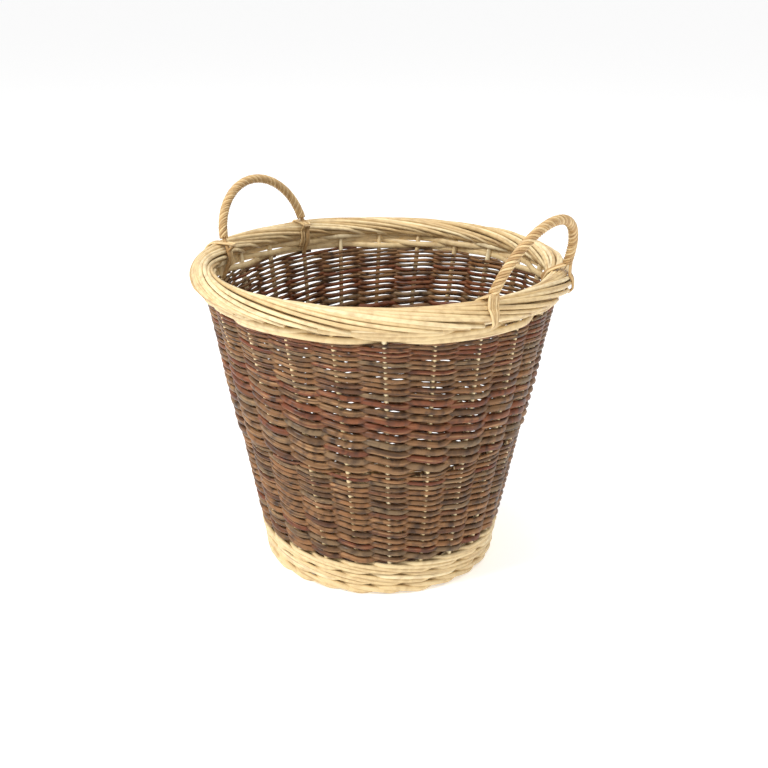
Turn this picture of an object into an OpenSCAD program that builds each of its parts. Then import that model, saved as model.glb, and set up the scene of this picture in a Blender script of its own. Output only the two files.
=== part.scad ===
// Round willow log basket: a woven wall on side stakes, with two roped bow handles.
// Millimetres, +Z up. The origin is the middle of the base, on the surface that it stands on.

/* [Basket] */
// Height over the border
basket_h = 420; // [340:1:520]
// Radius of the ring of side stakes at the floor
base_r = 150; // [125:0.5:190]
// Radius of the ring of side stakes at the underside of the border
rim_r = 230; // [190:0.5:290]
// How far each stake leans round the basket from the border down to the floor, in degrees
stake_lean = 4.4; // [0:0.1:6]

/* [Stakes and sticks] */
// Side stakes, two for each end of a base stick
stake_n = 24; // [24]
// Thickness of a side stake
stake_d = 6.4; // [5:0.1:7.5]
// Thickness of a stake's pared foot, which lies in the base
foot_d = 5.6; // [4.5:0.1:5.8]
// Radius at which a stake's foot starts, beside its base stick
foot_start_r = 92; // [70:1:105]
// Distance between a stake's foot and its base stick
foot_side = 2.2; // [2:0.1:3]
// Thickness of a base stick
stick_d = 8; // [7:0.1:9]
// Thickness of a pierced stick where it is split open for the threaded ones
split_d = 12.6; // [12:0.1:13.6]
// Width of a threaded stick where it is shaved flat
flat_w = 6.6; // [5:0.1:7]
// Thickness of a threaded stick where it is shaved flat
flat_t = 4.2; // [3:0.1:4.6]

/* [Weaving] */
// Thickness of the brown weaving rods at their butts
weaver_d = 5.6; // [4:0.1:6.5]
// Thickness of the peeled rods of the wales
wale_d = 6; // [4.5:0.1:7]
// Height of the foot roll
foot_roll_h = 13.6; // [12.8:0.1:16]
// Height of one round of the foot wale
foot_round_h = 8.8; // [7:0.1:11]
// Rounds in the foot wale
foot_rounds = 4; // [3:1:5]
// Height of the lower band of brown weaving
lower_h = 143; // [110:1:170]
// Height of one round of the top wale
top_round_h = 7.4; // [6:0.1:10]
// Rounds in the top wale
top_rounds = 3; // [2:1:4]
// Radius of the binding round the middle of the base
binding_r = 42; // [38:0.5:55]
// Radius inside which the base sticks cross
cross_r = 29.5; // [29:0.5:32]
// Thickness of the woven base
base_t = 12.4; // [11:0.1:14]

/* [Border] */
// Thickness of a border rod
border_d = 7.4; // [6:0.1:7.6]
// Height of the border
border_h = 23; // [22:0.1:25]
// Angle round the basket that each border rod spans
border_span = 50; // [40:0.5:54]
// Fall of a border rod from the inside of the border to the outside, in degrees
border_fall = 4.6; // [4.2:0.1:5.2]
// How far a border rod's own curve is centred off the basket's axis
border_offset = 28; // [27:0.1:31]

/* [Handles] */
// How far inside the middle of the border the bow's feet stand
bow_in = 18.4; // [18.2:0.1:21]
// Height of the bow's feet over the border
foot_rise = 1; // [0.5:0.1:4]
// Thickness of the bow's core rod
bow_d = 8.4; // [7:0.1:9.5]
// Thickness of the core rod's pared ends, which go down inside the stakes
leg_d = 5.4; // [4:0.1:5.8]
// Outer thickness of the roped handle
rope_d = 12.8; // [12:0.1:15]
// Outward lean of the bow, in degrees
bow_lean = 29; // [20:0.5:34]
// Angle along the bow at which the roping starts, in degrees
rope_start = 8; // [7:0.5:12]
// How far below the border the pared ends reach
leg_depth = 64; // [45:1:90]
// How far a pared end's tip lies inside the stake ring
leg_in = 7.2; // [7:0.1:8]
// Thickness of a lashing rod
lash_d = 3.2; // [2.4:0.1:3.8]
// Lashing rods at each foot
lash_n = 3; // [2:1:4]
// Slant of the lashings across the border, in degrees
lash_slant = 12; // [0:1:16]
// Radius of a lashing's bend round the border
lash_r = 19.9; // [19.8:0.1:21]

/* [Fit] */
// Clearance round a stake, stick or bow in its hole
hole_gap = 0.3; // [0.2:0.05:0.5]
// Gap between courses of weaving
course_gap = 0.3; // [0.2:0.05:0.5]

/* [Hidden] */
$fn = 96;
arm_n = stake_n / 2;              // ends of the base sticks
stick_n = arm_n / 2;              // half of them are pierced, half are threaded
arm_step = 360 / arm_n;
stake_step = 360 / stake_n;
base_z = 9.8;                     // height of the base sticks' axes
rim_z = basket_h - border_h;      // underside of the border
foot_wale_z = foot_roll_h + course_gap;
lower_z = foot_wale_z + foot_rounds * foot_round_h;
upper_z = lower_z + lower_h;
top_wale_z = rim_z - top_rounds * top_round_h;
weave_half = stake_d / 2 + weaver_d;
wale_half = stake_d / 2 + wale_d;
base_edge_r = wall_r(base_z) - wale_half - 1;
slat_pitch = flat_w + 1.4;        // spacing of the threaded sticks
split_pitch = split_d + 0.8;      // spacing of the pierced sticks
split_l = 3 * slat_pitch + 8;     // from elbow to elbow of a pierced stick
slat_l = 3 * split_pitch + 4;     // from elbow to elbow of a threaded stick
border_r = rim_r + 3;             // middle of the border
border_rod_r = border_r + 1.9;     // a border rod's own radius, and the angle that it starts at
border_start = -30.6;
border_z = basket_h - border_d / 2 + border_rod_r * sin(border_start) * sin(border_fall);
bow_foot_r = border_r - bow_in;
bow_foot_a = 1.5 * stake_step;    // the bow's feet stand inside the second stakes
bow_foot_z = basket_h + foot_rise;
bow_r = bow_foot_r * sin(bow_foot_a);
lash_first = bow_d / 2 + lash_d / 2 + 0.5;
lash_pitch = lash_d + 0.3;

willow = "burlywood";
peeled = "wheat";
bark = "saddlebrown";

function two(n) = str(n < 10 ? "0" : "", n);

// Radius of the wall's middle at a height
function wall_r(z) = base_r + (rim_r - base_r) * z / rim_z;
function polar(r, a, z) = [r * cos(a), r * sin(a), z];
// A point at a height on the straight line between two points
function on_line(p, q, z) = p + (q - p) * (z - p[2]) / (q[2] - p[2]);
function stake_angle(i) = (i - 0.5) * stake_step;
// A point on the axis of a stake whose top stands at angle a
function stake_point(a, z) = on_line(polar(base_r, a + stake_lean, 0), polar(rim_r, a, rim_z), z);
function bow_foot(side) = polar(bow_foot_r, side * bow_foot_a, bow_foot_z);
function leg_tip(side) = let (p = stake_point(side * bow_foot_a, rim_z - leg_depth))
    p - polar(leg_in, atan2(p[1], p[0]), 0);

// A straight rod between two points. Its seam is turned so that it doesn't run along an edge of what it pierces.
module rod(p, q, d, seam = 75) {
    v = q - p;
    l = norm(v);
    translate(p) rotate([0, acos(v[2] / l), atan2(v[1], v[0])]) rotate([0, 0, seam]) cylinder(d = d, h = l);
}

// The base sticks' ends fan out evenly, turned with the feet of the stakes
function arm_end(a, r) = polar(r, a, base_z);
function cross_point(a, along, across) =
    [along * cos(a) - across * sin(a), along * sin(a) + across * cos(a), base_z];

// Both outer lengths of a base stick; k is -1, 0 or 1 across its set, and a the direction of the set
module arms(k, a, pitch, along, end_r, d) {
    for (s = [-1, 1])
        rod(cross_point(a, s * along, k * pitch), arm_end(a + (s > 0 ? 0 : 180) + s * k * arm_step, end_r), d);
}

module all_arms(end_r, d) {
    for (k = [-1 : 1]) {
        arms(k, stake_lean, split_pitch, split_l / 2, end_r, d);
        arms(k, stake_lean + 90, slat_pitch, slat_l / 2, end_r, d);
    }
}

module pierced_stick(k) {
    difference() {
        union() {
            arms(k, stake_lean, split_pitch, split_l / 2, base_edge_r - 1, stick_d);
            rod(cross_point(stake_lean, -split_l / 2 - 6, k * split_pitch),
                cross_point(stake_lean, split_l / 2 + 6, k * split_pitch), split_d);
        }
        translate([0, 0, base_z]) rotate([0, 0, stake_lean])
            cube([3 * slat_pitch, 6 * split_pitch, flat_t + 2 * hole_gap], center = true);
    }
}

module threaded_stick(k) {
    arms(k, stake_lean + 90, slat_pitch, slat_l / 2, base_edge_r - 1, stick_d);
    translate(cross_point(stake_lean + 90, 0, k * slat_pitch)) rotate([0, 0, stake_lean + 90])
        cube([slat_l + 2, flat_w, flat_t], center = true);
}

module base_stick(i) {
    if (i <= stick_n / 2) pierced_stick(i - 2);
    else threaded_stick(i - stick_n / 2 - 2);
}

// The pared foot of a side stake, beside its base stick
module stake_foot(i, d) {
    arm = stake_lean + round(stake_angle(i) / arm_step) * arm_step;
    side = stake_angle(i) + stake_lean > arm ? 1 : -1;
    beside = asin(((stick_d + foot_d) / 2 + foot_side) / foot_start_r);
    rod(polar(foot_start_r, arm + side * beside, base_z), stake_point(stake_angle(i), base_z), d);
}

module stake_riser(i, d) {
    rod(stake_point(stake_angle(i), base_z - d / 2), stake_point(stake_angle(i), rim_z - course_gap), d);
}

module side_stake(i) {
    stake_foot(i, foot_d);
    stake_riser(i, stake_d);
}

module foot_holes() {
    for (i = [1 : stake_n]) stake_foot(i, foot_d + 2 * hole_gap);
}

module riser_holes() {
    for (i = [1 : stake_n]) stake_riser(i, stake_d + 2 * hole_gap);
}

// The pared ends of a bow; in the wall, they lie in grooves down its inner side
module legs(d) {
    for (side = [-1, 1]) rod(bow_foot(side) + [0, 0, 2], leg_tip(side), d, 0);
}

module leg_grooves() {
    for (turn = [0, 180]) rotate([0, 0, turn]) legs(leg_d + 2 * hole_gap);
}

// A flat woven ring in the base
module base_ring(r0, r1) {
    difference() {
        translate([0, 0, base_z - base_t / 2]) cylinder(r = r1, h = base_t);
        translate([0, 0, base_z - base_t]) cylinder(r = r0, h = 2 * base_t);
        all_arms(base_edge_r + 1, stick_d + 2 * hole_gap);
        if (r1 > foot_start_r) foot_holes();
    }
}

// A cone-shaped course of the wall
module course_section(z0, z1, half) {
    polygon([[wall_r(z0) - half, z0], [wall_r(z0) + half, z0],
             [wall_r(z1) + half, z1], [wall_r(z1) - half, z1]]);
}

// A wale: rounds of thick strokes that stand out on both sides of the wall
module wale_section(z0, n, h) {
    course_section(z0 + h / 8, z0 + (n - 1 / 8) * h, wale_half - h / 2);
    for (i = [0 : n - 1], s = [-1, 1]) {
        z = z0 + (i + 0.5) * h;
        translate([wall_r(z) + s * (wale_half - h / 2), z]) circle(d = h - course_gap);
    }
}

module foot_roll() {
    mid = wall_r(foot_roll_h / 2);
    color(peeled) difference() {
        rotate_extrude() intersection() {
            union() for (s = [-1, 1])
                translate([mid + s * 2, foot_roll_h / 2]) circle(d = foot_roll_h + 1);
            translate([mid - wale_half - 1, 0]) square([2 * wale_half + 2, foot_roll_h]);
        }
        riser_holes();
        foot_holes();
    }
}

module foot_wale() {
    color(peeled) difference() {
        rotate_extrude() wale_section(foot_wale_z, foot_rounds, foot_round_h);
        riser_holes();
    }
}

module lower_weave() {
    color(bark) difference() {
        rotate_extrude() course_section(lower_z + course_gap, upper_z, weave_half);
        riser_holes();
    }
}

module upper_weave() {
    color(bark) difference() {
        rotate_extrude() course_section(upper_z + course_gap, top_wale_z - course_gap, weave_half);
        riser_holes();
        leg_grooves();
    }
}

module top_wale() {
    color(peeled) difference() {
        rotate_extrude() wale_section(top_wale_z, top_rounds, top_round_h);
        riser_holes();
        leg_grooves();
    }
}

// Each border rod starts at the inner top of the border and runs down to its outer edge
module border() {
    color(peeled) for (i = [1 : stake_n]) rotate([0, 0, i * stake_step])
        translate([0, border_offset, border_z]) rotate([-border_fall, 0, 0])
            rotate([0, 0, border_start]) rotate_extrude(angle = border_span)
                translate([border_rod_r, 0]) circle(d = border_d);
}

// Half a ring standing at the border and leaning outward
module bow_arc(start) {
    translate([bow_foot_r * cos(bow_foot_a), 0, bow_foot_z])
        rotate([0, 90 + bow_lean, 0]) rotate([0, 0, 90 + start])
            rotate_extrude(angle = 180 - 2 * start) translate([bow_r, 0]) children();
}

module handle_bow(turn) {
    color(willow) rotate([0, 0, turn]) {
        bow_arc(0) circle(d = bow_d);
        legs(leg_d);
    }
}

// The roping rods wound round the bow
module handle_rope(turn) {
    color(willow) rotate([0, 0, turn]) bow_arc(rope_start) difference() {
        circle(d = rope_d);
        circle(d = bow_d + 2 * hole_gap);
    }
}

// The roping rods' ends, hooked over the border beside a foot
module handle_lashing(i) {
    side = i % 2 == 0 ? 1 : -1;
    color(willow) rotate([0, 0, (i <= 2 ? 0 : 180) + side * bow_foot_a])
        for (k = [0 : lash_n - 1])
            translate([border_r + 0.6, -side * (lash_first + lash_r * sin(lash_slant) + k * lash_pitch),
                       border_z + 1.6])
                rotate([-side * lash_slant, 0, 0]) rotate([90, 0, 0]) rotate([0, 0, -58])
                    rotate_extrude(angle = 200) translate([lash_r, 0]) circle(d = lash_d);
}

for (i = [1 : stick_n])
    color(willow) base_stick(i);
color(willow) base_ring(cross_r, binding_r - course_gap);  // base_binding
color(willow) base_ring(binding_r, base_edge_r);  // base_weave
for (i = [1 : stake_n])
    color(peeled) side_stake(i);
foot_roll();
foot_wale();
lower_weave();
upper_weave();
top_wale();
border();
handle_bow(0);  // handle_bow_right
handle_bow(180);  // handle_bow_left
handle_rope(0);  // handle_rope_right
handle_rope(180);  // handle_rope_left
for (i = [1 : 4])
    handle_lashing(i);
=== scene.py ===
import math
import random

import bpy
from mathutils import Matrix, Vector


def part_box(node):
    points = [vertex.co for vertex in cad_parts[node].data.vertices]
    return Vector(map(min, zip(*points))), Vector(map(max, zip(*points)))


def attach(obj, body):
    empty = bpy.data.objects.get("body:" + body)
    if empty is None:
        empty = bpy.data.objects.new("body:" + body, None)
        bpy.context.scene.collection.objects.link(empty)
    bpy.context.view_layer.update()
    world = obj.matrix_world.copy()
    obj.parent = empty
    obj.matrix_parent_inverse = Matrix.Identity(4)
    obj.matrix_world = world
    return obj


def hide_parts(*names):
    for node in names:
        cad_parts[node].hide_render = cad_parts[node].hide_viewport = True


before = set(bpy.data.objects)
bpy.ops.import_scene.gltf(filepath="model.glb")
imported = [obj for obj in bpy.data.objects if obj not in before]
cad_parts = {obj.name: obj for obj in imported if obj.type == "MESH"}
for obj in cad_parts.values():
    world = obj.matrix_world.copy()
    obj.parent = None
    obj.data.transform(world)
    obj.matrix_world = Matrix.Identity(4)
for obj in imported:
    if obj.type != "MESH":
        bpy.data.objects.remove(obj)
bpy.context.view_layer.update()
print("basket: the frame is loaded")

wall = {
    "stakeCount": 24,
    "spokeCount": 12,
    "stakeRadius": 0.0032,
    "stakeLean": 4.4,  # degrees round the basket, from the border down to the floor
    "weaveHalf": 0.0088,  # from the middle of the wall to its woven face
}

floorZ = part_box("foot_roll")[0].z
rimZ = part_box("side_stake_01")[1].z
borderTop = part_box("border")[1].z
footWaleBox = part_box("foot_wale")
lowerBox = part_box("lower_weave")
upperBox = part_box("upper_weave")
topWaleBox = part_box("top_wale")
wallSlope = (upperBox[1].x - lowerBox[1].x) / (upperBox[1].z - lowerBox[1].z)
stakeStep = 360 / wall["stakeCount"]  # degrees
spokeStep = 360 / wall["spokeCount"]


def wallRadius(z):
    return lowerBox[1].x - wall["weaveHalf"] + (z - lowerBox[1].z) * wallSlope


rimRadius = wallRadius(rimZ)


def polar(radius, degrees, z):
    a = math.radians(degrees)
    return Vector((radius * math.cos(a), radius * math.sin(a), z))


def stakeAngle(index, z):
    return (index - 0.5) * stakeStep + wall["stakeLean"] * (1 - z / rimZ)


def wallPoint(index, z, out):  # index counts stakes and may lie between two of them
    return polar(wallRadius(z) + out, stakeAngle(index, z), z)


def smooth(t):
    t = max(0.0, min(1.0, t))
    return t * t * (3 - 2 * t)


def curveThrough(points, steps):  # a smooth curve through a few points
    ends = [2 * points[0] - points[1]] + list(points) + [2 * points[-1] - points[-2]]
    out = []
    for i in range(1, len(ends) - 2):
        a, b, c, d = ends[i - 1 : i + 3]
        for k in range(steps):
            t = k / steps
            out.append(0.5 * (2 * b + (c - a) * t + (2 * a - 5 * b + 4 * c - d) * t * t
                              + (3 * b - a - 3 * c + d) * t * t * t))
    out.append(points[-1].copy())
    return out


def rod(points, radius, tone, closed=False, sides=8, tall=1.0):
    return {"points": points, "radius": radius, "tone": tone, "closed": closed, "sides": sides, "tall": tall}


def rodFrames(points, closed, upright=False):  # two directions across the rod at each point, without twist
    count = len(points)
    tangents = []
    for i in range(count):
        if closed:
            tangents.append((points[(i + 1) % count] - points[i - 1]).normalized())
        else:
            tangents.append((points[min(i + 1, count - 1)] - points[max(i - 1, 0)]).normalized())
    start = Vector((0, 0, 1)) if abs(tangents[0].z) < 0.8 else points[0].cross(Vector((0, 0, 1)))
    across = (start - tangents[0] * start.dot(tangents[0])).normalized()
    frames = []
    for t in tangents:
        across = Vector((0, 0, 1)) if upright else across
        across = (across - t * across.dot(t)).normalized()
        frames.append((across, t.cross(across)))
    return frames


def rodMesh(name, rods):
    verts, faces, uvs, tones, slots, smoothFlags = [], [], [], [], [], []
    for r in rods:
        points, sides, closed = r["points"], r["sides"], r["closed"]
        count = len(points)
        radii = r["radius"] if isinstance(r["radius"], list) else [r["radius"]] * count
        frames = rodFrames(points, closed, r["tall"] != 1)
        first = len(verts)
        way = [0.0]
        for i in range(count):
            way.append(way[-1] + (points[(i + 1) % count] - points[i]).length)
        for point, radius, (a, b) in zip(points, radii, frames):
            for k in range(sides):
                turn = 2 * math.pi * k / sides
                verts.append(point + radius * (math.cos(turn) * r["tall"] * a + math.sin(turn) * b))
        for i in range(count if closed else count - 1):
            here, there = first + i * sides, first + (i + 1) % count * sides
            for k in range(sides):
                m = (k + 1) % sides
                faces.append((here + k, here + m, there + m, there + k))
                v0, v1 = k / sides, (k + 1) / sides
                uvs += [(way[i], v0), (way[i], v1), (way[i + 1], v1), (way[i + 1], v0)]
                tones.append(r["tone"])
                slots.append(0)
                smoothFlags.append(True)
        if not closed:
            last = first + (count - 1) * sides
            faces.append(tuple(first + k for k in reversed(range(sides))))
            faces.append(tuple(last + k for k in range(sides)))
            for _ in range(2):
                uvs += [(0.5 + 0.5 * math.cos(2 * math.pi * k / sides), 0.5) for k in range(sides)]
                tones.append(r["tone"])
                slots.append(1)
                smoothFlags.append(False)
    mesh = bpy.data.meshes.new(name)
    mesh.from_pydata([tuple(v) for v in verts], [], faces)
    mesh.uv_layers.new(name="rodWay").data.foreach_set("uv", [c for uv in uvs for c in uv])
    mesh.attributes.new("tone", "FLOAT", "FACE").data.foreach_set("value", tones)
    mesh.polygons.foreach_set("use_smooth", smoothFlags)
    mesh.polygons.foreach_set("material_index", slots)
    return mesh


def makeRods(name, rods, material, replaces):
    mesh = rodMesh(name, rods)
    mesh.materials.append(material)
    mesh.materials.append(materials["cutEnd"])
    mesh.update()
    piece = bpy.data.objects.new(name, mesh)
    bpy.context.scene.collection.objects.link(piece)
    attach(piece, "root")
    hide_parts(*replaces)
    return piece


def link(tree, a, b):
    tree.links.new(a, b)


grain = {
    # noise per metre along the rod, per metre across it, and how fine it goes
    "streakLength": 14.0, "streakWidth": 420.0, "streakDetail": 4.0,
    "mottleSize": 90.0, "mottleDetail": 3.0, "mottlePlace": 7.0,
    "knotLength": 11.0, "knotWidth": 160.0, "knotDetail": 1.0, "knotPlace": 19.0,
    "knotFrom": 0.66, "knotFull": 0.74,
    "round": 0.003, "toneShift": 53.7,
}


def rodGrainGroup():
    group = bpy.data.node_groups.new("rodGrain", "ShaderNodeTree")
    face = group.interface
    for name in ("Tone", "Streaks", "Mottle", "Knots"):
        face.new_socket(name=name, in_out="OUTPUT", socket_type="NodeSocketFloat")
    nodes = group.nodes
    outputs = nodes.new("NodeGroupOutput")
    tone = nodes.new("ShaderNodeAttribute")
    tone.attribute_name = "tone"
    way = nodes.new("ShaderNodeUVMap")
    way.uv_map = "rodWay"
    split = nodes.new("ShaderNodeSeparateXYZ")
    link(group, way.outputs["UV"], split.inputs[0])

    def maths(kind, a, b=None):
        node = nodes.new("ShaderNodeMath")
        node.operation = kind
        for socket, value in zip(node.inputs, (a, b)):
            if value is None:
                continue
            if isinstance(value, (int, float)):
                socket.default_value = value
            else:
                link(group, value, socket)
        return node.outputs[0]

    turn = maths("MULTIPLY", split.outputs["Y"], 2 * math.pi)
    roundX = maths("MULTIPLY", maths("COSINE", turn), grain["round"])
    roundY = maths("MULTIPLY", maths("SINE", turn), grain["round"])
    shift = maths("MULTIPLY", tone.outputs["Fac"], grain["toneShift"])

    def spot(alongScale, acrossScale, detail, offset):
        place = nodes.new("ShaderNodeCombineXYZ")
        link(group, maths("ADD", maths("MULTIPLY", split.outputs["X"], alongScale), shift), place.inputs[0])
        link(group, maths("MULTIPLY", roundX, acrossScale), place.inputs[1])
        link(group, maths("ADD", maths("MULTIPLY", roundY, acrossScale), offset), place.inputs[2])
        noise = nodes.new("ShaderNodeTexNoise")
        noise.inputs["Scale"].default_value = 1.0
        noise.inputs["Detail"].default_value = detail
        link(group, place.outputs[0], noise.inputs["Vector"])
        return noise.outputs["Fac"]

    streaks = spot(grain["streakLength"], grain["streakWidth"], grain["streakDetail"], 0.0)
    mottle = spot(grain["mottleSize"], grain["mottleSize"], grain["mottleDetail"], grain["mottlePlace"])
    knotNoise = spot(grain["knotLength"], grain["knotWidth"], grain["knotDetail"], grain["knotPlace"])
    knots = nodes.new("ShaderNodeMapRange")
    knots.inputs["From Min"].default_value = grain["knotFrom"]
    knots.inputs["From Max"].default_value = grain["knotFull"]
    link(group, knotNoise, knots.inputs["Value"])
    for source, target in ((tone.outputs["Fac"], "Tone"), (streaks, "Streaks"), (mottle, "Mottle"),
                           (knots.outputs[0], "Knots")):
        link(group, source, outputs.inputs[target])
    return group


rodGrain = rodGrainGroup()

finishes = {
    "bark": {
        "ramp": [(0.0, (0.150, 0.040, 0.014)), (0.22, (0.215, 0.072, 0.025)), (0.42, (0.080, 0.036, 0.015)),
                 (0.60, (0.165, 0.083, 0.032)), (0.80, (0.250, 0.112, 0.040)), (1.0, (0.180, 0.118, 0.060))],
        "light": (0.55, 0.32, 0.15), "dark": (0.022, 0.009, 0.004),
        "lightShare": 0.75, "darkShare": 0.85, "knotShare": 0.6,
        "roughness": (0.32, 0.6), "specular": 0.32, "bump": 0.35,
    },
    "peeled": {
        "ramp": [(0.0, (0.54, 0.37, 0.165)), (0.25, (0.67, 0.49, 0.245)), (0.55, (0.77, 0.60, 0.33)),
                 (1.0, (0.86, 0.72, 0.45))],
        "light": (0.88, 0.77, 0.52), "dark": (0.30, 0.15, 0.05),
        "lightShare": 0.45, "darkShare": 0.4, "knotShare": 0.55,
        "roughness": (0.36, 0.58), "specular": 0.4, "bump": 0.2,
    },
    "willow": {
        "ramp": [(0.0, (0.37, 0.20, 0.075)), (0.3, (0.53, 0.34, 0.145)), (0.65, (0.67, 0.47, 0.225)),
                 (1.0, (0.78, 0.60, 0.33))],
        "light": (0.82, 0.65, 0.38), "dark": (0.22, 0.10, 0.035),
        "lightShare": 0.4, "darkShare": 0.45, "knotShare": 0.6,
        "roughness": (0.38, 0.6), "specular": 0.4, "bump": 0.22,
    },
}


def rodMaterial(name, finish):
    material = bpy.data.materials.new(name)
    material.use_nodes = True
    tree = material.node_tree
    nodes = tree.nodes
    shader = nodes["Principled BSDF"]
    rodNode = nodes.new("ShaderNodeGroup")
    rodNode.node_tree = rodGrain
    ramp = nodes.new("ShaderNodeValToRGB")
    stops = ramp.color_ramp.elements
    while len(stops) < len(finish["ramp"]):
        stops.new(0.5)
    for stop, (place, colour) in zip(stops, finish["ramp"]):
        stop.position = place
        stop.color = (*colour, 1)
    link(tree, rodNode.outputs["Tone"], ramp.inputs["Fac"])

    def share(source, low, high, amount):
        node = nodes.new("ShaderNodeMapRange")
        node.inputs["From Min"].default_value = low
        node.inputs["From Max"].default_value = high
        node.inputs["To Max"].default_value = amount
        link(tree, source, node.inputs["Value"])
        return node.outputs[0]

    def blend(amount, base, colour):
        node = nodes.new("ShaderNodeMix")
        node.data_type = "RGBA"
        link(tree, amount, node.inputs["Factor"])
        link(tree, base, node.inputs[6])
        node.inputs[7].default_value = (*colour, 1)
        return node.outputs[2]

    streaked = share(rodNode.outputs["Streaks"], 0.52, 0.78, finish["lightShare"])
    mottled = share(rodNode.outputs["Mottle"], 0.55, 0.30, finish["darkShare"])
    knotted = share(rodNode.outputs["Knots"], 0.0, 1.0, finish["knotShare"])
    colour = blend(streaked, ramp.outputs["Color"], finish["light"])
    colour = blend(mottled, colour, finish["dark"])
    colour = blend(knotted, colour, finish["dark"])
    link(tree, colour, shader.inputs["Base Color"])
    rough = nodes.new("ShaderNodeMapRange")
    rough.inputs["From Min"].default_value = 0.3
    rough.inputs["From Max"].default_value = 0.7
    rough.inputs["To Min"].default_value = finish["roughness"][0]
    rough.inputs["To Max"].default_value = finish["roughness"][1]
    link(tree, rodNode.outputs["Mottle"], rough.inputs["Value"])
    link(tree, rough.outputs[0], shader.inputs["Roughness"])
    shader.inputs["Specular IOR Level"].default_value = finish["specular"]
    bump = nodes.new("ShaderNodeBump")
    bump.inputs["Strength"].default_value = finish["bump"]
    bump.inputs["Distance"].default_value = 0.0006
    link(tree, rodNode.outputs["Streaks"], bump.inputs["Height"])
    link(tree, bump.outputs["Normal"], shader.inputs["Normal"])
    return material


def cutEndMaterial():
    material = bpy.data.materials.new("cutEnd")
    material.use_nodes = True
    nodes = material.node_tree.nodes
    shader = nodes["Principled BSDF"]
    noise = nodes.new("ShaderNodeTexNoise")
    noise.inputs["Scale"].default_value = 900
    ramp = nodes.new("ShaderNodeValToRGB")
    ramp.color_ramp.elements[0].color = (0.45, 0.27, 0.12, 1)
    ramp.color_ramp.elements[1].color = (0.85, 0.68, 0.42, 1)
    coords = nodes.new("ShaderNodeTexCoord")
    link(material.node_tree, coords.outputs["Object"], noise.inputs["Vector"])
    link(material.node_tree, noise.outputs["Fac"], ramp.inputs["Fac"])
    link(material.node_tree, ramp.outputs["Color"], shader.inputs["Base Color"])
    shader.inputs["Roughness"].default_value = 0.75
    return material


materials = {name: rodMaterial(name, finish) for name, finish in finishes.items()}
materials["cutEnd"] = cutEndMaterial()
print("basket: finishes are made")


stakes = {
    "steps": 40, "wobble": 0.0005, "proud": 0.0008, "radius": 0.0031, "tall": 1.45, "seed": 11,
    # the foot starts this far from the middle, turned this many degrees from its spoke
    "footRadius": 0.0028, "footStart": 0.092, "footTurn": 5.6,
}

chance = random.Random(stakes["seed"])
for i in range(1, wall["stakeCount"] + 1):
    node = f"side_stake_{i:02d}"
    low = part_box(node)[0].z + wall["stakeRadius"]
    phase, lift = chance.uniform(0, 6.28), chance.uniform(0.6, 1.4)
    risers = []
    for k in range(stakes["steps"] + 1):
        z = low + (rimZ - low) * k / stakes["steps"]
        sway = stakes["wobble"] * lift * math.sin(phase + 9 * k / stakes["steps"])
        risers.append(wallPoint(i + sway * 12, z, stakes["proud"] + sway))
    # the foot lies beside its spoke and bends up at the edge of the base
    spoke = wall["stakeLean"] + round((i - 0.5) * stakeStep / spokeStep) * spokeStep
    side = 1 if (i - 0.5) * stakeStep + wall["stakeLean"] > spoke else -1
    footStart = polar(stakes["footStart"], spoke + side * stakes["footTurn"], low)
    foot = [footStart, footStart.lerp(risers[0], 0.5), footStart.lerp(risers[0], 0.9)]
    points = foot + risers[1:]
    radii = [stakes["footRadius"]] * len(foot) + [stakes["radius"]] * stakes["steps"]
    stake = rod(points, radii, 0.45 + 0.55 * chance.random(), tall=stakes["tall"])
    makeRods(f"stake_{i:02d}", [stake], materials["peeled"], [node])
print("basket: side stakes")

# Every rod of a band starts inside at its own stake and climbs one row at each stake it passes,
# in front of one and behind the next.

bands = {
    # how far apart the rods of one start lie, at some heights
    "lower_weave": {
        "box": lowerBox,
        "pitches": [(0.049, 0.0108), (0.100, 0.0096), (0.140, 0.0084), (0.192, 0.0062)],
        "seed": 3, "greyShare": 0.35,
    },
    "upper_weave": {
        "box": upperBox,
        "pitches": [(0.192, 0.0117), (0.260, 0.0115), (0.285, 0.0102), (0.320, 0.0072), (0.375, 0.0057)],
        "seed": 5, "greyShare": 0.3,
    },
}
weaving = {
    "stepsPerStake": 8, "fill": 1.12, "tall": 1.4, "wave": 0.0022, "wander": 0.0005, "unevenness": 0.0003,
    "slant": 1.2, "startBack": 0.35, "endSize": 0.96, "squareness": 0.75,
}


def pitchAt(pitches, z):
    for (z0, p0), (z1, p1) in zip(pitches, pitches[1:]):
        if z <= z1:
            return p0 + (p1 - p0) * max(0.0, (z - z0) / (z1 - z0))
    return pitches[-1][1]


def rowHeights(band):  # the middle of each row, from the underside of the band to its top
    pitches = band["pitches"]
    low, high = band["box"][0].z, band["box"][1].z
    rows = [low + pitchAt(pitches, low) / 4]
    while rows[-1] + pitchAt(pitches, rows[-1]) / 2 < high - pitchAt(pitches, high) / 4:
        rows.append(rows[-1] + pitchAt(pitches, rows[-1]) / 2)
    stretch = (high - pitchAt(pitches, high) / 4 - rows[0]) / (rows[-1] - rows[0])
    return [rows[0] + (z - rows[0]) * stretch for z in rows]


def boundaryWave(degrees, z):  # the rows rise and fall a little round the basket
    t = (z - lowerBox[0].z) / (upperBox[1].z - lowerBox[0].z)
    a = math.radians(degrees)
    return weaving["wave"] * math.sin(math.pi * t) * (math.sin(3 * a + 0.8) + 0.5 * math.sin(7 * a + 2.1))


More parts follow.
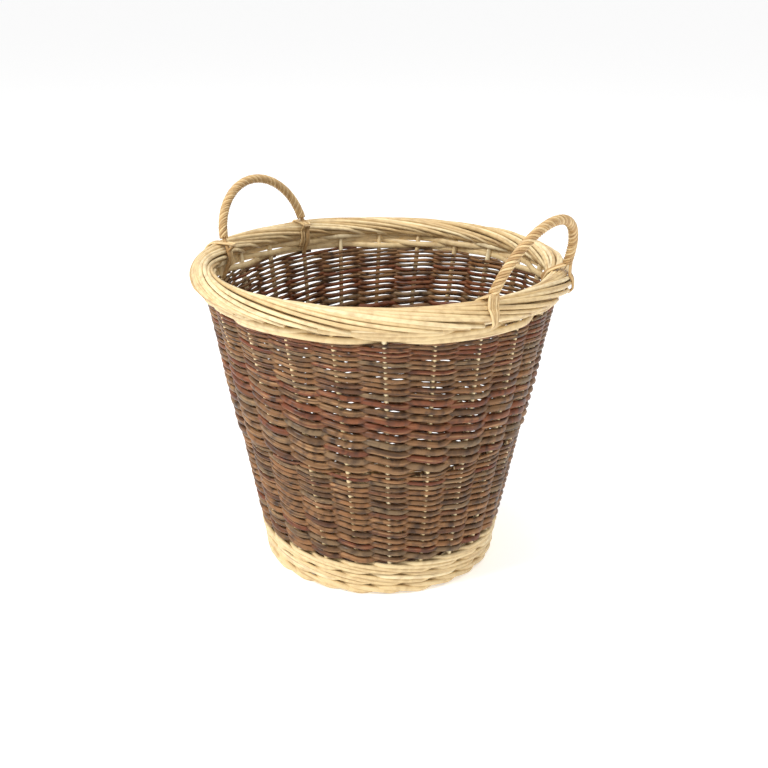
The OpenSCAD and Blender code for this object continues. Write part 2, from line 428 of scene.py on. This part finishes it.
for name, band in bands.items():
    chance = random.Random(band["seed"])
    rows = rowHeights(band)
    top = len(rows) - 1
    rods = []
    for j in range(wall["stakeCount"]):
        thick = chance.uniform(0.93, 1.05)
        phases = [chance.uniform(0, 6.28) for _ in range(3)]
        first = -weaving["startBack"] - chance.uniform(0, 0.1)
        last = top + chance.uniform(0.15, 0.45)
        count = int((last - first) * weaving["stepsPerStake"]) + 1
        points, radii = [], []
        for k in range(count + 1):
            t = first + (last - first) * k / count
            row = max(0.0, min(top - 1e-6, t))
            base = int(row)
            z = rows[base] + (rows[base + 1] - rows[base]) * (row - base)
            size = pitchAt(band["pitches"], z) / 4 * weaving["fill"] * thick
            z += weaving["wander"] * (math.sin(0.8 * t + phases[0]) + 0.7 * math.sin(1.7 * t + phases[1]))
            z += weaving["slant"] * size * math.sin(2 * math.pi * t) / math.pi
            index = j + 1 - t
            z += boundaryWave(stakeAngle(index, z), z)
            swing = math.cos(math.pi * t)
            swing = math.copysign(abs(swing) ** weaving["squareness"], swing)
            out = -swing * (wall["stakeRadius"] + size) + weaving["unevenness"] * math.sin(1.3 * t + phases[2])
            points.append(wallPoint(index, z, out))
            radii.append(size)
        for end in (0, -1):
            radii[end] *= weaving["endSize"]
        tone = chance.random()  # the upper half of the tones is the greyer one
        if chance.random() < band["greyShare"]:
            tone = 0.45 + 0.55 * tone
        rods.append(rod(points, radii, tone, tall=weaving["tall"]))
    makeRods(name + "_rods", rods, materials["bark"], [name])
    print("basket:", name, len(rows), "rows")

# The foot is waled: each rod passes in front of all but one stake in every few,
# and rises one strand at each.

wales = {
    "foot_roll": [{"z": floorZ + 0.0080, "rods": 3, "pitch": 0.0070, "thick": 0.0078}],
    "foot_wale": [{"z": footWaleBox[0].z + 0.0092, "rods": 4, "pitch": 0.0059, "thick": 0.0061},
                  {"z": footWaleBox[0].z + 0.0266, "rods": 4, "pitch": 0.0059, "thick": 0.0059}],
}
waling = {"stepsPerStake": 8, "wander": 0.0005}


def waleRods(ring, chance):
    m = ring["rods"]
    reach = (m / 2 - 1) * ring["pitch"]  # how far the outermost strands stand from the middle of the round
    rods = []
    for j in range(m):
        phase = chance.uniform(0, 6.28)
        points, radii = [], []
        for k in range(wall["stakeCount"] * waling["stepsPerStake"]):
            t = k / waling["stepsPerStake"]
            q = (t + 0.5) % m - 0.5  # 0 behind its stake, 1 to m-1 in front
            if q < 0.5:
                z = ring["z"] + reach * (1 - 2 * smooth(q + 0.5))
            else:
                z = ring["z"] + ring["pitch"] * (max(1.0, min(m - 1.0, q)) - m / 2)
            front = 1 - 2 * smooth(1 - abs(q)) if q < 1 else 1 - 2 * smooth(q - (m - 1))
            around = 2 * math.pi * t / wall["stakeCount"]
            z += waling["wander"] * math.sin(5 * around + phase)
            size = ring["thick"] / 2 * (1 + 0.05 * math.sin(2 * around + phase))
            points.append(wallPoint(j + 1 - t, z, front * (wall["stakeRadius"] + size)))
            radii.append(size)
        rods.append(rod(points, radii, chance.uniform(0.15, 0.95), closed=True, sides=10))
    return rods


for name, rings in wales.items():
    chance = random.Random(len(name) + 20)
    rods = [r for ring in rings for r in waleRods(ring, chance)]
    makeRods(name + "_rods", rods, materials["peeled"], [name])

# The top rows lie level, and take turns to go behind a stake.

topRows = {
    "rows": 5, "low": topWaleBox[0].z, "high": rimZ + 0.004, "period": 4, "thick": 0.0058, "tall": 1.5,
    "slant": 0.0006, "wander": 0.0005, "stepsPerStake": 8, "seed": 28,
}


def levelRow(j, chance):
    m = topRows["period"]
    rise = (topRows["high"] - topRows["low"]) / topRows["rows"]
    phases = [chance.uniform(0, 6.28) for _ in range(2)]
    thick = topRows["thick"] * chance.uniform(0.93, 1.05)
    points, radii = [], []
    for k in range(wall["stakeCount"] * topRows["stepsPerStake"]):
        t = k / topRows["stepsPerStake"]
        q = (t + (m - 1) * j + 0.5) % m - 0.5  # 0 behind its stake, 1 to m-1 in front
        around = 2 * math.pi * t / wall["stakeCount"]
        fall = -2 * q if q < 0.5 else 2 * (q - m / 2) / (m - 1)
        front = 1 - 2 * smooth(max(0.0, 1 - abs(q), q - (m - 1)))
        z = topRows["low"] + rise * (j + 0.5) + topRows["slant"] * fall
        z += topRows["wander"] * (math.sin(5 * around + phases[0]) + 0.6 * math.sin(9 * around + phases[1]))
        size = thick / 2 * (1 + 0.06 * math.sin(2 * around + phases[1]))
        points.append(wallPoint(1 - t, z, front * (wall["stakeRadius"] + size)))
        radii.append(size)
    return rod(points, radii, chance.uniform(0.3, 1.0), closed=True, sides=10, tall=topRows["tall"])


chance = random.Random(topRows["seed"])
rods = [levelRow(j, chance) for j in range(topRows["rows"])]
makeRods("top_wale_rods", rods, materials["peeled"], ["top_wale"])
print("basket: wales")

# Each rod comes up inside the wall, goes over the top and runs down to the outer edge,
# where its tip is tucked in.

border = {
    "rods": 40, "thick": 0.0055, "sweep": 90, "start": 15, "steps": 42, "wander": 0.018, "unevenness": 0.0006,
    # the rods lie side by side on an arch over the ends of the stakes
    "archMiddle": 0.0035, "archWidth": 0.0145, "archDepth": 0.0200, "archHeight": 0.0164,
    "archFrom": 12, "archTo": 190,
    "tuckIn": 0.0060, "tuckDown": 0.0070, "tuckWay": 7,
    # rings under the rods: place from the middle of the wall, depth, radius
    "core": [(0.0030, 0.0150, 0.0055), (-0.0040, 0.0210, 0.0050), (0.0090, 0.0215, 0.0055)],
    "seed": 8,
}


# share runs from 0 at the inner foot of the arch to 1 at the outer one
def archPoint(degrees, share, lift, down=0):
    phi = math.radians(border["archFrom"] + (border["archTo"] - border["archFrom"]) * share)
    return polar(rimRadius + border["archMiddle"] - (border["archWidth"] + lift) * math.cos(phi), degrees,
                 borderTop - border["archDepth"] + (border["archHeight"] + lift) * math.sin(phi) - down)


chance = random.Random(border["seed"])
rods = []
for i in range(border["rods"]):
    size = border["thick"] / 2 * chance.uniform(0.88, 1.08)
    begin = border["start"] + i * 360 / border["rods"] + chance.uniform(-1.2, 1.2)
    sweep = border["sweep"] * chance.uniform(0.95, 1.05)
    phases = [chance.uniform(0, 6.28) for _ in range(2)]
    proud = chance.uniform(-0.0013, 0.0006)
    points = [archPoint(begin - border["tuckWay"], 0, -border["tuckIn"], border["tuckDown"])]
    for k in range(border["steps"] + 1):
        t = k / border["steps"]
        lift = proud + border["unevenness"] * math.sin(11 * t + phases[0])
        share = t + border["wander"] * math.sin(9 * t + phases[1])
        points.append(archPoint(begin + sweep * t, share, lift))
    points.append(archPoint(begin + sweep + border["tuckWay"], 1, -border["tuckIn"], border["tuckDown"]))
    radii = [size * (0.9 + 0.1 * math.sin(math.pi * k / (len(points) - 1))) for k in range(len(points))]
    rods.append(rod(points, radii, chance.uniform(0.0, 1.0), sides=9))
for out, down, size in border["core"]:
    ring = [polar(rimRadius + out, 5 * k, borderTop - down) for k in range(72)]
    rods.append(rod(ring, size, 0.0, closed=True))
makeRods("border_rods", rods, materials["peeled"], ["border"])
print("basket: border")

# A core rod is bent into a bow and roped with thin rods. At the feet, the rods part: some go down inside,
# the others over the border and back in under it.

handle = {
    "feetZ": borderTop - 0.002, "coreRadius": 0.00272, "legAngle": 22.5, "legTurn": 0.7,
    # radius and depth under the top of the border
    "legKnots": [(0.2165, 0.008), (0.2150, 0.022)],
    "strands": 7, "strandRadius": 0.00160, "laidRadius": 0.0047, "turns": 8.3, "ropeFrom": 7.0,
    "footWidth": 0.0125, "footLift": 0.0044, "legLength": 0.050,
    # share of the way to the edge of the border, share of the foot's width, lift, and how far under the arch
    "overEdge": [(0.0, 0.8, 0.0125, 0), (0.10, 0.9, 0.0060, 0), (0.3, 0.85, 0, 0), (0.5, 0.75, 0, 0),
                 (0.7, 0.6, 0, 0), (0.88, 0.45, 0, 0), (1.0, 0.3, 0, 0.002), (1.0, 0.2, -0.0050, 0.0080)],
    "downInside": [(0.0, 0.6, 0.0125, 0), (0.10, 0.8, 0.0060, 0), (0.4, 0.85, 0, 0), (0.7, 0.9, 0, 0),
                   (1.0, 0.9, 0, 0), (1.0, 0.95, 0, 0.0100), (1.0, 1.0, -0.0060, 0.0190)],
    "overCount": 5, "insideCount": 4, "arcSteps": 120,
    "seed": 21,
    # hand-made, so the two bows are not quite alike
    "sides": {
        "right": {"turn": 0, "feetX": 0.2230, "halfWidth": 0.0900, "height": 0.0885, "lean": 20.0},
        "left": {"turn": 180, "feetX": 0.2060, "halfWidth": 0.0815, "height": 0.0785, "lean": 17.0},
    },
}


def bowPoint(side, degrees):  # 0 and 180 are the feet, 90 is the top
    a = math.radians(degrees)
    lean = math.radians(side["lean"])
    up = side["height"] * math.sin(a)
    return Vector((side["feetX"] + up * math.sin(lean), side["halfWidth"] * math.cos(a),
                   handle["feetZ"] + up * math.cos(lean)))


def turned(points, degrees):
    spin = Matrix.Rotation(math.radians(degrees), 3, "Z")
    return [spin @ p for p in points]


def strandEnds(side, chance, foot):
    sign = 1 if foot == 0 else -1
    y = side["halfWidth"] * sign
    angle = math.degrees(math.atan2(y, side["feetX"]))
    landing = math.hypot(y, side["feetX"])
    rods = []
    startPhi = math.degrees(math.acos((rimRadius + border["archMiddle"] - landing) / border["archWidth"]))
    startShare = (startPhi - border["archFrom"]) / (border["archTo"] - border["archFrom"])
    paths = ((handle["overEdge"], 1, handle["overCount"]), (handle["downInside"], 0, handle["insideCount"]))
    for path, edge, count in paths:
        for n in range(count):
            across = (n / (count - 1) - 0.5) * handle["footWidth"] + chance.uniform(-0.0006, 0.0006)
            knots = []
            for share, width, lift, down in path:
                place = angle + math.degrees(across * width / landing)
                reach = startShare + (edge - startShare) * share
                knots.append(archPoint(place, reach, handle["footLift"] + lift, down))
            points = turned(curveThrough(knots, 5), side["turn"])
            size = handle["strandRadius"] * chance.uniform(0.92, 1.05)
            rods.append(rod(points, size, chance.uniform(0.1, 0.95)))
    return rods


chance = random.Random(handle["seed"])
lashingNumber = {("right", 0): 2, ("right", 180): 1, ("left", 0): 4, ("left", 180): 3}
for name, side in handle["sides"].items():
    steps = handle["arcSteps"]
    sweep = 180 - 2 * handle["ropeFrom"]
    arc = [bowPoint(side, handle["ropeFrom"] + sweep * k / steps) for k in range(steps + 1)]
    frames = rodFrames(arc, False)
    strands = []
    for s in range(handle["strands"]):
        points = []
        for k, p in enumerate(arc):
            a, b = frames[k]
            turn = 2 * math.pi * (s / handle["strands"] + handle["turns"] * k / steps)
            points.append(p + handle["laidRadius"] * (math.cos(turn) * a + math.sin(turn) * b))
        tone = 0.5 + (0.45 if s % 2 else -0.45) * chance.uniform(0.3, 1)
        size = handle["strandRadius"] * chance.uniform(0.92, 1.06)
        strands.append(rod(turned(points, side["turn"]), size, tone))
    makeRods(f"handle_roping_{name}", strands, materials["willow"], [f"handle_rope_{name}"])

    legs = []
    for foot in (0, 180):
        sign = 1 if foot == 0 else -1
        start = bowPoint(side, foot + sign * handle["ropeFrom"])
        angle = sign * handle["legAngle"]
        low = borderTop - handle["legLength"]
        knots = [polar(radius, angle, borderTop - depth) for radius, depth in handle["legKnots"]]
        legs.append([start, *knots, polar(wallRadius(low), angle + handle["legTurn"], low)])
    core = curveThrough(legs[0][::-1], 6)[:-1] + arc + curveThrough(legs[1], 6)[1:]
    coreRod = rod(turned(core, side["turn"]), handle["coreRadius"], 0.2)
    makeRods(f"handle_core_{name}", [coreRod], materials["willow"], [f"handle_bow_{name}"])
    for foot in (0, 180):
        number = lashingNumber[(name, foot)]
        ends = strandEnds(side, chance, foot)
        makeRods(f"handle_ends_{number}", ends, materials["willow"], [f"handle_lashing_{number}"])
print("basket: handles")

# Twelve spokes with pairs of thin rods woven round them, one over and one under each spoke in turn.

base = {
    "sticks": 6, "spokeRadius": 0.004, "pairThick": 0.0050, "ringStep": 0.0056, "firstRing": 0.0435,
    "bindThick": 0.0034, "bindRings": (0.0315, 0.0350, 0.0385), "bite": 0.0003, "wander": 0.0006,
    "stepsPerSpoke": 6, "seed": 31,
}
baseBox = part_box("base_weave")
baseZ = (baseBox[0].z + baseBox[1].z) / 2


def basePair(radius, thick, chance, odd):
    rods = []
    for way in (0, 1):
        phase = chance.uniform(0, 6.28)
        points = []
        count = wall["spokeCount"] * base["stepsPerSpoke"]
        for k in range(count):
            t = k / base["stepsPerSpoke"]
            lift = math.cos(math.pi * (t + way + odd)) * (base["spokeRadius"] + thick / 2 - base["bite"])
            r = radius + base["wander"] * math.sin(math.pi * t / 2 + phase)
            points.append(polar(r, wall["stakeLean"] + t * spokeStep, baseZ + lift))
        rods.append(rod(points, thick / 2, chance.random(), closed=True, sides=7))
    return rods


chance = random.Random(base["seed"])
rings, radius, odd = [], base["firstRing"], 0
while radius < baseBox[1].x - base["pairThick"] / 2:
    rings += basePair(radius, base["pairThick"], chance, odd)
    radius += base["ringStep"]
    odd = 1 - odd
makeRods("base_pairing", rings, materials["bark"], ["base_weave"])
binding = []
for k, radius in enumerate(base["bindRings"]):
    binding += basePair(radius, base["bindThick"], chance, k % 2)
makeRods("base_binding_rods", binding, materials["willow"], ["base_binding"])


def stickMaterial():  # the base sticks keep their CAD shape
    material = bpy.data.materials.new("baseStick")
    material.use_nodes = True
    tree = material.node_tree
    shader = tree.nodes["Principled BSDF"]
    coords = tree.nodes.new("ShaderNodeTexCoord")
    noise = tree.nodes.new("ShaderNodeTexNoise")
    noise.inputs["Scale"].default_value = 160
    noise.inputs["Detail"].default_value = 5
    ramp = tree.nodes.new("ShaderNodeValToRGB")
    ramp.color_ramp.elements[0].position = 0.3
    ramp.color_ramp.elements[0].color = (0.40, 0.22, 0.09, 1)
    ramp.color_ramp.elements[1].position = 0.7
    ramp.color_ramp.elements[1].color = (0.72, 0.50, 0.26, 1)
    bump = tree.nodes.new("ShaderNodeBump")
    bump.inputs["Strength"].default_value = 0.2
    bump.inputs["Distance"].default_value = 0.0005
    link(tree, coords.outputs["Object"], noise.inputs["Vector"])
    link(tree, noise.outputs["Fac"], ramp.inputs["Fac"])
    link(tree, noise.outputs["Fac"], bump.inputs["Height"])
    link(tree, bump.outputs["Normal"], shader.inputs["Normal"])
    link(tree, ramp.outputs["Color"], shader.inputs["Base Color"])
    shader.inputs["Roughness"].default_value = 0.6
    return material


materials["baseStick"] = stickMaterial()
for i in range(1, base["sticks"] + 1):
    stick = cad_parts[f"base_stick_{i}"]
    stick.data.materials.clear()
    stick.data.materials.append(materials["baseStick"])
print("basket: base")

studio = {
    "floorSize": 200.0, "floorColour": (0.97, 0.97, 0.97), "world": 0.68, "floorGlow": 0.3,
    # place, size, power, colour; every lamp is aimed at the same point above the middle
    "lamps": {
        "key": ((-0.9, -2.4, 2.6), 1.0, 84, (1.0, 0.992, 0.975)),
        "fill": ((2.2, -1.4, 1.4), 1.8, 10, (0.98, 0.99, 1.0)),
        "top": ((0.3, 0.6, 2.8), 2.2, 24, (1.0, 1.0, 1.0)),
    },
}


def areaLamp(name, place, size, power, colour):
    data = bpy.data.lights.new(name, "AREA")
    data.shape = "DISK"
    data.size = size
    data.energy = power
    data.color = colour
    lamp = bpy.data.objects.new(name, data)
    lamp.location = place
    aim = Vector((0, 0, 0.2)) - Vector(place)
    lamp.rotation_euler = aim.to_track_quat("-Z", "Y").to_euler()
    bpy.context.scene.collection.objects.link(lamp)
    return lamp


floorMesh = bpy.data.meshes.new("floor")
half = studio["floorSize"] / 2
corners = [(x * half, y * half, floorZ) for x, y in ((-1, -1), (1, -1), (1, 1), (-1, 1))]
floorMesh.from_pydata(corners, [], [(0, 1, 2, 3)])
floorObject = bpy.data.objects.new("floor", floorMesh)
bpy.context.scene.collection.objects.link(floorObject)
floorMaterial = bpy.data.materials.new("floor")
floorMaterial.use_nodes = True
floorShader = floorMaterial.node_tree.nodes["Principled BSDF"]
floorShader.inputs["Base Color"].default_value = (*studio["floorColour"], 1)
floorShader.inputs["Roughness"].default_value = 0.9
floorShader.inputs["Emission Color"].default_value = (1, 1, 1, 1)
floorShader.inputs["Emission Strength"].default_value = studio["floorGlow"]
floorMesh.materials.append(floorMaterial)
stagePieces = [floorObject] + [areaLamp(name, *lamp) for name, lamp in studio["lamps"].items()]
world = bpy.data.worlds.new("studio")
world.use_nodes = True
world.node_tree.nodes["Background"].inputs["Color"].default_value = (1, 1, 1, 1)
world.node_tree.nodes["Background"].inputs["Strength"].default_value = studio["world"]
bpy.context.scene.world = world
bpy.context.scene.view_settings.view_transform = "Standard"

camera = {
    "azimuth": 36.8, "elevation": 29.116, "distance": 1.608, "aimHeight": 0.2371, "aimRight": 0.0048,
    "roll": 0.427, "lens": 51.13,
}


def placeCamera():
    data = bpy.data.cameras.new("camera")
    data.lens = camera["lens"]
    data.sensor_width = 36
    data.clip_start = 0.02
    az, el = math.radians(camera["azimuth"]), math.radians(camera["elevation"])
    right = Vector((math.cos(az), math.sin(az), 0))
    way = Vector((math.sin(az) * math.cos(el), -math.cos(az) * math.cos(el), math.sin(el)))
    place = way * camera["distance"]
    ahead = (right * camera["aimRight"] + Vector((0, 0, camera["aimHeight"])) - place).normalized()
    right = ahead.cross(Vector((0, 0, 1))).normalized()
    up = right.cross(ahead)
    roll = math.radians(camera["roll"])
    right, up = math.cos(roll) * right + math.sin(roll) * up, math.cos(roll) * up - math.sin(roll) * right
    shooter = bpy.data.objects.new("camera", data)
    shooter.matrix_world = Matrix((
        (right.x, up.x, -ahead.x, place.x),
        (right.y, up.y, -ahead.y, place.y),
        (right.z, up.z, -ahead.z, place.z),
        (0, 0, 0, 1)))
    bpy.context.scene.collection.objects.link(shooter)
    bpy.context.scene.camera = shooter


placeCamera()

print("basket: studio and camera")
